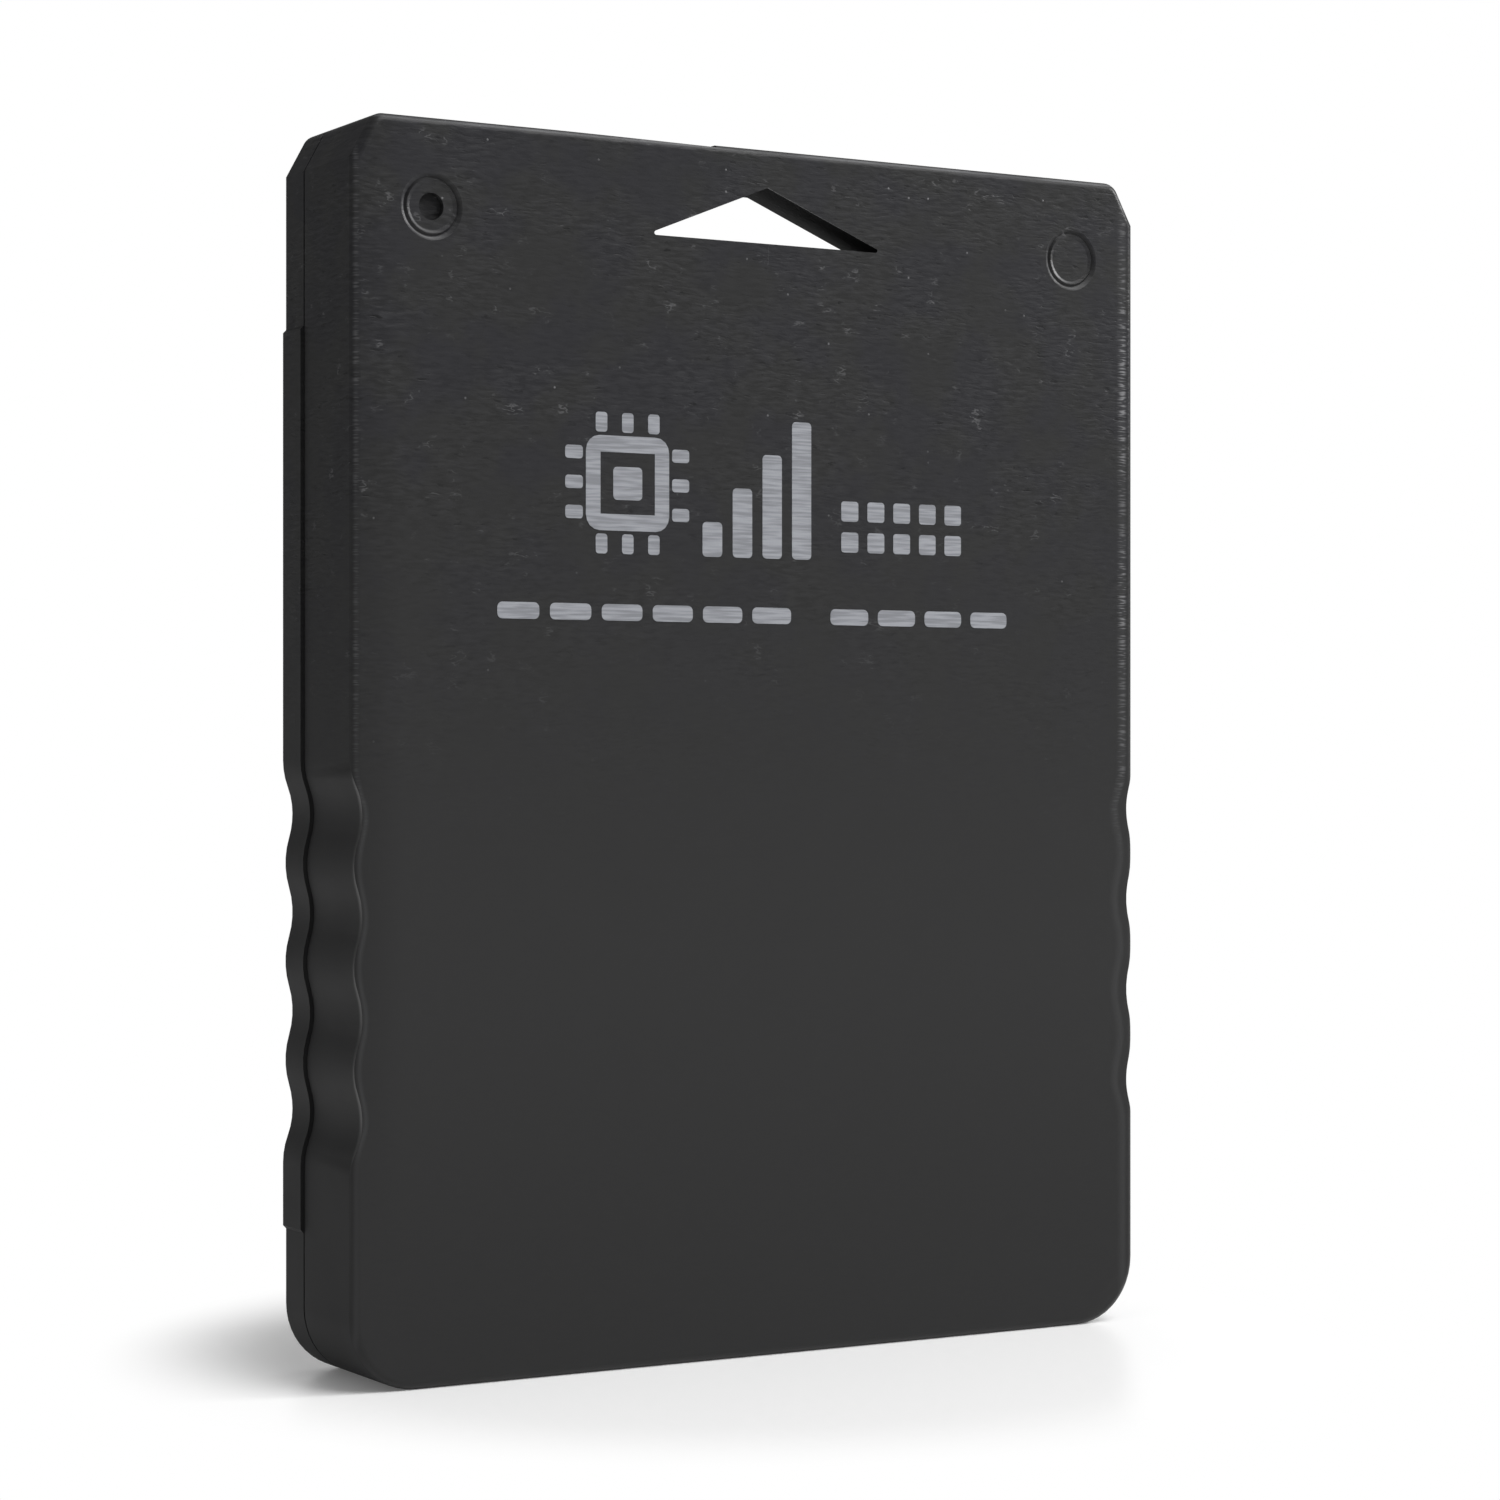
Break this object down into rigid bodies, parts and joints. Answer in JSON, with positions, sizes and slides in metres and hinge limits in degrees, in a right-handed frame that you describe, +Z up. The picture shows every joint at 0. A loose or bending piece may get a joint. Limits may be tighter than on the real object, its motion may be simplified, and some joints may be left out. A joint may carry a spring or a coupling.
{
  "type": "console memory card",
  "caption": "Flat moulded plastic card case with wavy finger grips, a triangular strap hole and a recessed edge connector of gold strips, holding a memory board for a game console.",
  "frame": {"origin": "middle of the foot, which is the connector end that the card stands on", "axes": "+Z up along the card to the strap hole, +Y through the thickness from the printed face to the rear, +X to the right seen from the front"},
  "size_m": [0.0424, 0.0076, 0.056],
  "materials": {
    "case_plastic": "fine moulded grain, charcoal grey",
    "board_laminate": "satin green solder mask on glass laminate",
    "contact_gold": "gold plate on copper",
    "chip_epoxy": "matt black moulding",
    "lead_tin": "tinned metal strip",
    "capacitor_ceramic": "tan ceramic with tinned ends",
    "resistor_ceramic": "dark glazed ceramic with tinned ends"
  },
  "bodies": {
    "root": {"front_shell": "case_plastic", "rear_shell": "case_plastic", "circuit_board": "board_laminate", "flash_chip": "chip_epoxy", "controller_chip": "chip_epoxy", "flash_leads": "lead_tin", "controller_leads": "lead_tin", "contact_1": "contact_gold", "contact_2": "contact_gold", "contact_3": "contact_gold", "contact_4": "contact_gold", "contact_5": "contact_gold", "contact_6": "contact_gold", "contact_7": "contact_gold", "contact_8": "contact_gold", "capacitor_1": "capacitor_ceramic", "capacitor_2": "capacitor_ceramic", "capacitor_3": "capacitor_ceramic", "capacitor_4": "capacitor_ceramic", "resistor_1": "resistor_ceramic", "resistor_2": "resistor_ceramic", "resistor_3": "resistor_ceramic", "resistor_4": "resistor_ceramic", "resistor_5": "resistor_ceramic", "resistor_6": "resistor_ceramic"}
  },
  "joints": []
}
